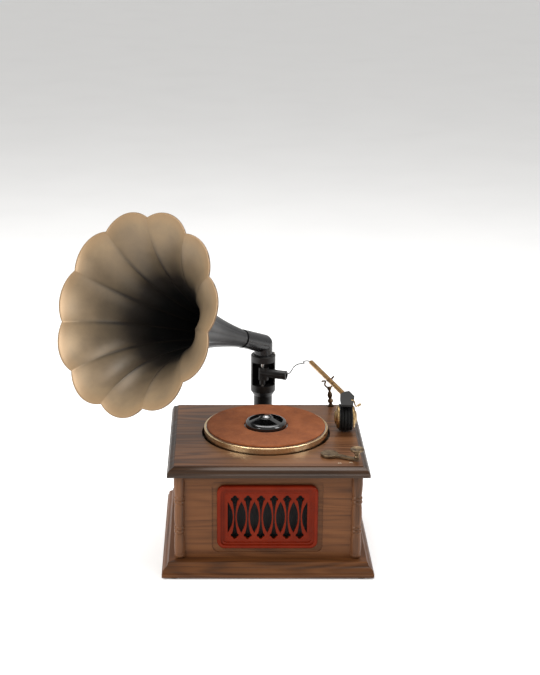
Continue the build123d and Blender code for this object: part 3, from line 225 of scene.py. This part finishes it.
red_plastic = plastic("grille_red_brown", (0.105, 0.0068, 0.0016), (0.150, 0.0120, 0.0030), (0.10, 0.17), 0.00001, 350, 0.06, 0.10)
red_plastic.set(Specular_Tint=(1.0, 0.62, 0.42, 1.0))
brass = metal("aged_brass", (0.62, 0.43, 0.20), (0.36, 0.24, 0.11), (0.10, 0.065, 0.03), (0.24, 0.48))
tube_brass = metal("tube_brass", (0.60, 0.36, 0.13), (0.40, 0.22, 0.08), (0.12, 0.06, 0.025), (0.22, 0.42))
rim_brass = metal("rim_brass", (0.86, 0.66, 0.40), (0.76, 0.57, 0.33), (0.56, 0.40, 0.22), (0.20, 0.30), (1, 1, 12), scale=30)
lever_brass = metal("lever_brass", (0.28, 0.20, 0.115), (0.155, 0.108, 0.065), (0.045, 0.03, 0.019), (0.32, 0.55))
bronze = metal("dark_bronze", (0.20, 0.125, 0.07), (0.085, 0.052, 0.03), (0.025, 0.016, 0.01), (0.34, 0.58))
steel = metal("plated_steel", (0.62, 0.61, 0.58), (0.45, 0.44, 0.42), (0.20, 0.19, 0.18), (0.22, 0.42))
alu = metal("cast_aluminium", (0.55, 0.55, 0.55), (0.42, 0.42, 0.42), (0.24, 0.24, 0.24), (0.35, 0.5))
rubber = plastic("rubber", (0.006, 0.006, 0.006), (0.014, 0.014, 0.014), (0.38, 0.5), 0.00003, spec=0.3)
drum_black = plastic("drum_black", (0.003, 0.003, 0.003), (0.007, 0.007, 0.0065), (0.36, 0.5), 0.00003, spec=0.18)
board = plastic("laminate", (0.30, 0.17, 0.05), (0.38, 0.23, 0.08), (0.4, 0.5))
paper = plastic("pressed_paper", (0.020, 0.018, 0.016), (0.045, 0.041, 0.036), (0.8, 0.9), 0.0002, 500)
cells = plastic("cell_jacket", (0.05, 0.06, 0.10), (0.08, 0.09, 0.14), (0.25, 0.35))

cloth = Mat("grille_cloth")
wv = cloth.n("ShaderNodeTexWave", wave_type="BANDS", bands_direction="X")
wv.inputs["Scale"].default_value = 420
cloth.link(cloth.co, wv.inputs["Vector"])
wz = cloth.n("ShaderNodeTexWave", wave_type="BANDS", bands_direction="Z")
wz.inputs["Scale"].default_value = 420
cloth.link(cloth.co, wz.inputs["Vector"])
weave = cloth.math("MULTIPLY", wv.outputs["Fac"], wz.outputs["Fac"])
cloth.color(cloth.ramp(weave, [(0.1, (0.004, 0.004, 0.004)), (0.8, (0.022, 0.020, 0.019))]))
cloth.rough(0.9)
cloth.normal(cloth.bump(weave, 0.0002, 0.6))

felt = Mat("felt")
f1 = felt.noise(felt.map((1, 1, 1)), 55, 5.0, 0.6)
f2 = felt.noise(felt.map((1, 1, 1)), 1500, 4.0, 0.7)
f3 = felt.noise(felt.map((1, 1, 1)), 380, 5.0, 0.7, 1.2)
fv = felt.math("ADD", felt.math("MULTIPLY", f1, 0.6), felt.math("MULTIPLY", f3, 0.4))
felt_col = felt.ramp(fv, [(0.33, (0.110, 0.028, 0.009)), (0.5, (0.180, 0.050, 0.015)), (0.68, (0.260, 0.082, 0.028))])
felt.color(felt.mix(felt.math("MULTIPLY", f2, 0.22), felt_col, (0.32, 0.12, 0.045)))
felt.rough(0.95)
felt.normal(felt.bump(f2, 0.0004, 0.8, felt.bump(f3, 0.0003, 0.5)))
felt.set(Sheen_Weight=0.06, Sheen_Roughness=0.5, Specular_IOR_Level=0.1)


def dress(m, *nodes):
    for n in nodes:
        o = N[n]
        o.data.materials.clear()
        o.data.materials.append(m.m)


dress(top_wood, "top_panel")
dress(edge_wood, "plinth_front", "plinth_rear")
dress(case_y, "plinth_left", "plinth_right", "left_panel", "right_panel")
dress(case_x, "front_panel", "rear_panel")
dress(case_z, "column_front_left", "column_front_right", "column_rear_left", "column_rear_right")
dress(plain, "bottom_board")
dress(black, "pillar", "rear_bracket", "arm_socket", "battery_cover", "battery_holder", "cover_rails", "speed_switch", "feet", "stylus_carrier")
dress(elbow_black, "horn_elbow")
dress(gloss_black, "record_adaptor")
dress(shell_grey, "headshell")
dress(red_plastic, "grille_bezel", "grille_fret")
dress(cloth, "grille_cloth")
dress(drum_black, "drum_body")
dress(rubber, "idler_tyre")
dress(rim_brass, "platter_rim")
dress(lever_brass, "speed_lever", "lever_knob")
dress(tube_brass, "arm_tube")
dress(brass, "drum_caps", "finger_lift", "spindle_bearing")
dress(black, "socket_collar")
dress(bronze, "arm_rest")
dress(alu, "platter", "spindle", "idler_wheel")
dress(steel, "screws", "horn_set_screw", "arm_pivot_pin", "idler_post", "motor_plate", "motor", "motor_pulley", "battery_contacts",
      "speaker_basket", "speaker_magnet", "amplifier_parts")
dress(board, "amplifier_board")
dress(paper, "speaker_cone")
dress(cells, "battery_cells")


def soften(name, width, angle=35, seg=2):
    o = N[name]
    mod = o.modifiers.new("edge", "BEVEL")
    mod.width = width / 1000
    mod.segments = seg
    mod.limit_method = "ANGLE"
    mod.angle_limit = math.radians(angle)
    mod.harden_normals = False


# ------------------------------------------------------------------ horn
ha, he = math.radians(49.78), math.radians(21.56)
HD = Vector((-math.cos(he) * math.cos(ha), -math.cos(he) * math.sin(ha), math.sin(he)))
HU = (Vector((0, 0, 1)) - HD * HD.z).normalized()
HW = HD.cross(HU)
E = P(0, 108.0, 155.4)
PETALS, PHASE = 11, math.radians(7.84)
ROWS = [(18.2, 6.2, 6.2), (36.0, 7.0, 7.15), (60.0, 9.6, 9.95), (87.0, 14.2, 14.85), (115.0, 21.4, 22.6),
        (140.0, 31.2, 33.2), (160.0, 42.0, 45.0), (176.0, 55.0, 59.0), (187.0, 67.5, 72.6), (194.5, 79.4, 85.6), (197.3, 85.2, 92.0)]


def pchip(xs, ys):
    n = len(xs)
    h = [xs[i + 1] - xs[i] for i in range(n - 1)]
    d = [(ys[i + 1] - ys[i]) / h[i] for i in range(n - 1)]
    m = [d[0]] + [0 if d[i - 1] * d[i] <= 0 else 2 / (1 / d[i - 1] + 1 / d[i]) for i in range(1, n - 1)] + [d[-1] * 1.25]

    def f(x):
        i = 0
        while i < n - 2 and x > xs[i + 1]:
            i += 1
        t = (x - xs[i]) / h[i]
        return ((1 + 2 * t) * (1 - t) ** 2 * ys[i] + t * (1 - t) ** 2 * h[i] * m[i] + t * t * (3 - 2 * t) * ys[i + 1] + t * t * (t - 1) * h[i] * m[i + 1])
    return f


fn = pchip([r[0] for r in ROWS], [r[1] for r in ROWS])
fc = pchip([r[0] for r in ROWS], [r[2] for r in ROWS])


def petal_r(rn, rt, a):
    s = ((a - PHASE) / (2 * math.pi / PETALS)) % 1.0
    th = (s - 0.5) * 2 * math.pi / PETALS
    hw, base = rn * math.sin(math.pi / PETALS), rn * math.cos(math.pi / PETALS)
    H = rt - base
    rho = (hw * hw + H * H) / (2 * H)
    cy = rt - rho
    return cy * math.cos(th) + math.sqrt(max(rho * rho - (cy * math.sin(th)) ** 2, 0)), s


def spot(t, r, a):
    return E + (HD * t + (HU * math.cos(a) + HW * math.sin(a)) * r) / 1000


NA = PETALS * 28
TS = [18.6 + (36 - 18.6) * i / 4 for i in range(4)] + [36 + (160 - 36) * i / 44 for i in range(44)] + [160 + (194.5 - 160) * i / 26 for i in range(26)] + [194.5 + 2.9 * i / 5 for i in range(6)]
bm = bmesh.new()
lt = bm.verts.layers.float.new("along")
lc = bm.verts.layers.float.new("crease")
lp = bm.verts.layers.float.new("petal")
inner, outer = [], []
angles = []
for k in range(PETALS):
    for j in range(28):
        u = j / 28
        # closer together at the creases
        u = u + 0.06 * math.sin(2 * math.pi * u) * -1
        angles.append(PHASE + (k + u) * 2 * math.pi / PETALS)
for t in TS:
    ri, ro = [], []
    rn, rt = fn(t), fc(t)
    slope = math.atan2(fn(min(t + 0.5, 197.3)) - fn(t - 0.5), 1.0 if t + 0.5 <= 197.3 else 197.3 - t + 0.5)
    for a in angles:
        r, s = petal_r(rn, rt, a)
        c = math.exp(-(min(s, 1 - s) / 0.055) ** 2)
        # a pressed valley where two petals meet, and a slight crown between
        k = min(max((t - 50) / 140, 0), 1)
        v = bm.verts.new(spot(t, r, a))
        v[lt], v[lc], v[lp] = t / 197.3, c, s
        ri.append(v)
        wall = 1.35
        ot, orr = t - wall * math.sin(slope), r + wall * math.cos(slope)
        if t < 37:
            ot, orr = t, 7.66
        w = bm.verts.new(spot(ot, orr, a))
        w[lt], w[lc], w[lp] = t / 197.3, c, s
        ro.append(w)
    inner.append(ri)
    outer.append(ro)


def strip(a, b, flip, mat):
    n = len(a)
    for i in range(n):
        j = (i + 1) % n
        q = [a[i], a[j], b[j], b[i]]
        if flip:
            q.reverse()
        f = bm.faces.new(q)
        f.smooth = True
        f.material_index = mat


for i in range(len(TS) - 1):
    strip(inner[i], inner[i + 1], True, 0)
    strip(outer[i], outer[i + 1], False, 1)
# rolled lip and the ring at the neck
lip = []
for i, a in enumerate(angles):
    mid = (inner[-1][i].co + outer[-1][i].co) / 2
    out = (mid - inner[-2][i].co).normalized() * 0.0002
    v = bm.verts.new(mid + out)
    v[lt], v[lc], v[lp] = 1.0, inner[-1][i][lc], inner[-1][i][lp]
    lip.append(v)
strip(inner[-1], lip, True, 2)
strip(lip, outer[-1], True, 2)
strip(inner[0], outer[0], False, 1)
me = bpy.data.meshes.new("horn_flower")
bmesh.ops.recalc_face_normals(bm, faces=bm.faces)
bm.to_mesh(me)
bm.free()
horn = bpy.data.objects.new("horn_flower", me)
bpy.context.collection.objects.link(horn)


def horn_mat(name, inside):
    m = Mat(name)
    at = m.n("ShaderNodeAttribute", attribute_name="along")
    ac = m.n("ShaderNodeAttribute", attribute_name="crease")
    along, crease = at.outputs["Fac"], ac.outputs["Fac"]
    cloud = m.noise(m.map((1, 1, 1)), 26, 5.0, 0.6)
    speck = m.noise(m.map((1, 1, 1)), 900, 3.0, 0.6)
    if inside:
        # sprayed fade, ragged where the two colours meet; the darkening along the creases is painted shade
        v = m.math("ADD", along, m.math("MULTIPLY", m.math("SUBTRACT", cloud, 0.5), 0.09))
        # painted shade: the dark fade reaches further out along the creases
        v = m.math("SUBTRACT", v, m.math("MULTIPLY", crease, m.range(along, 0.85, 0.99, 0.06, 0.0)))
        col = m.ramp(v, [(0.0, (0.003, 0.003, 0.003)), (0.66, (0.004, 0.004, 0.004)), (0.77, (0.018, 0.014, 0.011)), (0.855, (0.085, 0.064, 0.040)),
                         (0.94, (0.165, 0.120, 0.072)), (1.0, (0.235, 0.168, 0.096))])
        tint = m.ramp(cloud, [(0.35, (0.88, 0.86, 0.85)), (0.65, (1.04, 1.01, 0.97))])
        col = m.mix(1.0, col, tint, "MULTIPLY")
        rim = m.range(along, 0.975, 1.0, 0.0, 0.55)
        col = m.mix(rim, col, (0.270, 0.165, 0.080))
        # painted shade in the creases, strongest deeper in the bell
        crease_shade = m.range(along, 0.80, 0.985, 0.55, 0.06)
        col = m.mix(m.math("MULTIPLY", crease, crease_shade), col, (0.016, 0.012, 0.008))
        col = m.mix(m.math("MULTIPLY", m.range(speck, 0.62, 0.75, 0, 1), 0.22), col, (0.07, 0.05, 0.035))
        m.color(col)
        m.rough(m.range(cloud, 0.3, 0.7, 0.34, 0.46))
        m.set(Metallic=0.3, Specular_IOR_Level=0.45)
    else:
        v = m.math("ADD", along, m.math("MULTIPLY", m.math("SUBTRACT", cloud, 0.5), 0.10))
        col = m.ramp(v, [(0.0, (0.012, 0.012, 0.013)), (0.70, (0.018, 0.018, 0.019)), (0.93, (0.042, 0.038, 0.033)), (1.0, (0.095, 0.075, 0.052))])
        # painted shade along the creases on the outside of the bell
        col = m.mix(m.math("MULTIPLY", crease, 0.5), col, (0.008, 0.008, 0.008))
        m.color(col)
        m.rough(m.range(cloud, 0.3, 0.7, 0.30, 0.46))
        m.set(Metallic=0.2, Specular_IOR_Level=0.5)
    m.normal(m.bump(speck, 0.00003, 0.4))
    return m


horn_in, horn_out = horn_mat("horn_inside", True), horn_mat("horn_outside", False)
horn_lip = metal("horn_lip", (0.26, 0.16, 0.085), (0.17, 0.105, 0.055), (0.07, 0.045, 0.025), (0.34, 0.5), metallic=0.3)
for mm in (horn_in, horn_out, horn_lip):
    me.materials.append(mm.m)
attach(horn, "horn")
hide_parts("horn_bell")

# ------------------------------------------------------------------ felt mat
PY = 4.7
bm = bmesh.new()
radii = [20.1, 20.9, 24, 29, 34, 39, 44, 49, 52.5, 54.2, 54.8]
import random
random.seed(4)
rings_t, rings_b = [], []
seg = 160
wob = [random.uniform(-0.10, 0.10) for _ in range(seg)]
for i, r in enumerate(radii):
    rt_, rb_ = [], []
    for k in range(seg):
        a = 2 * math.pi * k / seg
        rr = r + (wob[k] if i == len(radii) - 1 else 0)
        z = 109.78 - (0.35 if i in (0, len(radii) - 1) else 0) - 0.05 * (1 + math.sin(3 * a + i)) * 0.5
        rt_.append(bm.verts.new(P(rr * math.cos(a), PY + rr * math.sin(a), z)))
        rb_.append(bm.verts.new(P(rr * math.cos(a), PY + rr * math.sin(a), 108.22)))
    rings_t.append(rt_)
    rings_b.append(rb_)


def band(a, b):
    for i in range(len(a)):
        j = (i + 1) % len(a)
        f = bm.faces.new([a[i], a[j], b[j], b[i]])
        f.smooth = True


for i in range(len(radii) - 1):
    band(rings_t[i], rings_t[i + 1])
    band(rings_b[i + 1], rings_b[i])
band(rings_b[0], rings_t[0])
band(rings_t[-1], rings_b[-1])
bmesh.ops.recalc_face_normals(bm, faces=bm.faces)
me = bpy.data.meshes.new("felt_mat")
bm.to_mesh(me)
bm.free()
mat_o = bpy.data.objects.new("felt_mat", me)
bpy.context.collection.objects.link(mat_o)
me.materials.append(felt.m)
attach(mat_o, "turntable")
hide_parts("turntable_mat")

# ------------------------------------------------------------------ pickup lead
sa = math.radians(-22.4)
SD = Vector((math.cos(sa), math.sin(sa), 0))
PA, PB = P(72.46, 38.0, 129.25), P(47.82, 116.0, 133.24)
TD = (PB - PA).normalized()
NL = Vector((-TD.y, TD.x, 0)).normalized()
mouth = P(-1.0, 100.0, 128.2) + SD * 0.0252
L1 = PB + TD * 0.0036
L2 = L1 + (TD * 0.5 + NL * 0.866) * 0.0044
L3 = L2 + (TD * -0.5 + NL * 0.866) * 0.0044
LEAD = [mouth + SD * -0.0026 + Vector((0, 0, 0.0009)), mouth + SD * 0.002 + Vector((0, 0, 0.0015)), P(27.3, 92.9, 132.4), P(29.6, 97.4, 135.3), P(34.2, 101.7, 136.5),
        P(39.0, 105.6, 135.6), P(41.1, 110.6, 134.3), L3, L2, L1, PB + TD * -0.0026]
cu = bpy.data.curves.new("lead", "CURVE")
cu.dimensions = "3D"
sp = cu.splines.new("NURBS")
sp.points.add(len(LEAD) - 1)
for pnt, v in zip(sp.points, LEAD):
    pnt.co = (v.x, v.y, v.z, 1)
sp.order_u = 3
sp.use_endpoint_u = True
sp.resolution_u = 12
route = bpy.data.objects.new("lead_route", cu)
bpy.context.collection.objects.link(route)
bpy.context.view_layer.update()
line = bpy.data.meshes.new_from_object(route)
LINE = [v.co.copy() for v in line.vertices]
bpy.data.meshes.remove(line)
bpy.data.objects.remove(route)
bm = bmesh.new()
ring_up = Vector((0, 0, 1))
rings = []
for i, c in enumerate(LINE):
    d = (LINE[min(i + 1, len(LINE) - 1)] - LINE[max(i - 1, 0)]).normalized()
    ring_up = (ring_up - d * ring_up.dot(d)).normalized()
    side = d.cross(ring_up)
    rings.append([bm.verts.new(c + (ring_up * math.cos(k * math.pi / 6) + side * math.sin(k * math.pi / 6)) * 0.0005) for k in range(12)])
for i in range(len(rings) - 1):
    band(rings[i], rings[i + 1])
bm.faces.new(rings[0])
bm.faces.new(rings[-1])
bmesh.ops.recalc_face_normals(bm, faces=bm.faces)
me = bpy.data.meshes.new("lead")
bm.to_mesh(me)
bm.free()
lead = bpy.data.objects.new("lead", me)
bpy.context.collection.objects.link(lead)
me.materials.append(rubber.m)
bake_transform(lead)
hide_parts("pickup_lead")

# ------------------------------------------------------------------ speed numbers on the deck
num_mat = plastic("number_paint", (0.40, 0.33, 0.24), (0.52, 0.44, 0.33), (0.5, 0.6))
for txt, x, y, size in (("33", 62.6, -71.9, 3.4), ("45", 72.7, -70.2, 3.4)):
    tcu = bpy.data.curves.new("speed_" + txt, "FONT")
    tcu.body = txt
    tcu.size = size / 1000
    tcu.align_x, tcu.align_y = "CENTER", "CENTER"
    tcu.extrude = 0.00002
    to = bpy.data.objects.new("speed_" + txt, tcu)
    bpy.context.collection.objects.link(to)
    to.location = P(x, y, 102.34)
    tcu.materials.append(num_mat.m)
    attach(to, "cabinet")

# ------------------------------------------------------------------ floor, light, camera
fm = Mat("studio_floor")
fmn = fm.noise(fm.map((1, 1, 1)), 6, 3.0)
fm.color(fm.ramp(fmn, [(0.3, (0.86, 0.86, 0.86)), (0.7, (0.89, 0.89, 0.89))]))
fm.rough(0.9)
fm.set(Emission_Color=(1, 1, 1, 1), Emission_Strength=0.12)
fme = bpy.data.meshes.new("floor")
fme.from_pydata([(-6, -6, 0), (6, -6, 0), (6, 6, 0), (-6, 6, 0)], [], [(0, 1, 2, 3)])
floor = bpy.data.objects.new("floor", fme)
bpy.context.collection.objects.link(floor)
fme.materials.append(fm.m)

world = bpy.data.worlds.new("studio")
bpy.context.scene.world = world
world.use_nodes = True
world.node_tree.nodes["Background"].inputs[0].default_value = (1.0, 0.99, 0.97, 1)
world.node_tree.nodes["Background"].inputs[1].default_value = 0.55


def area(name, loc, target, size, power, color=(1, 1, 1)):
    li = bpy.data.lights.new(name, "AREA")
    li.shape = "RECTANGLE"
    li.size, li.size_y = size
    li.energy = power
    li.color = color
    o = bpy.data.objects.new(name, li)
    bpy.context.collection.objects.link(o)
    o.location = loc
    o.rotation_euler = (Vector(target) - Vector(loc)).to_track_quat("-Z", "Y").to_euler()


area("key", (-0.95, -0.75, 0.95), (0, 0, 0.14), (0.7, 0.7), 19.0, (1, 0.985, 0.96))
area("top", (0.1, 0.25, 1.3), (0, 0, 0.1), (1.1, 0.9), 15.0)
area("right", (1.1, -0.5, 0.7), (0, 0, 0.12), (0.5, 0.8), 6.0, (1, 1, 1))

cam = bpy.data.cameras.new("camera")
cam.sensor_width = 36
cam.lens = 81.08
cam.shift_x = 0.07335
cam.shift_y = 0.0
cam.clip_start = 0.05
co = bpy.data.objects.new("camera", cam)
bpy.context.collection.objects.link(co)
co.location = P(-42.11, -1313.129, 607.36)
co.rotation_euler = (math.radians(90 - 17.415052), 0, 0)
bpy.context.scene.camera = co
bpy.context.scene.view_settings.view_transform = "Standard"
bpy.context.scene.view_settings.look = "None"

bpy.context.view_layer.update()
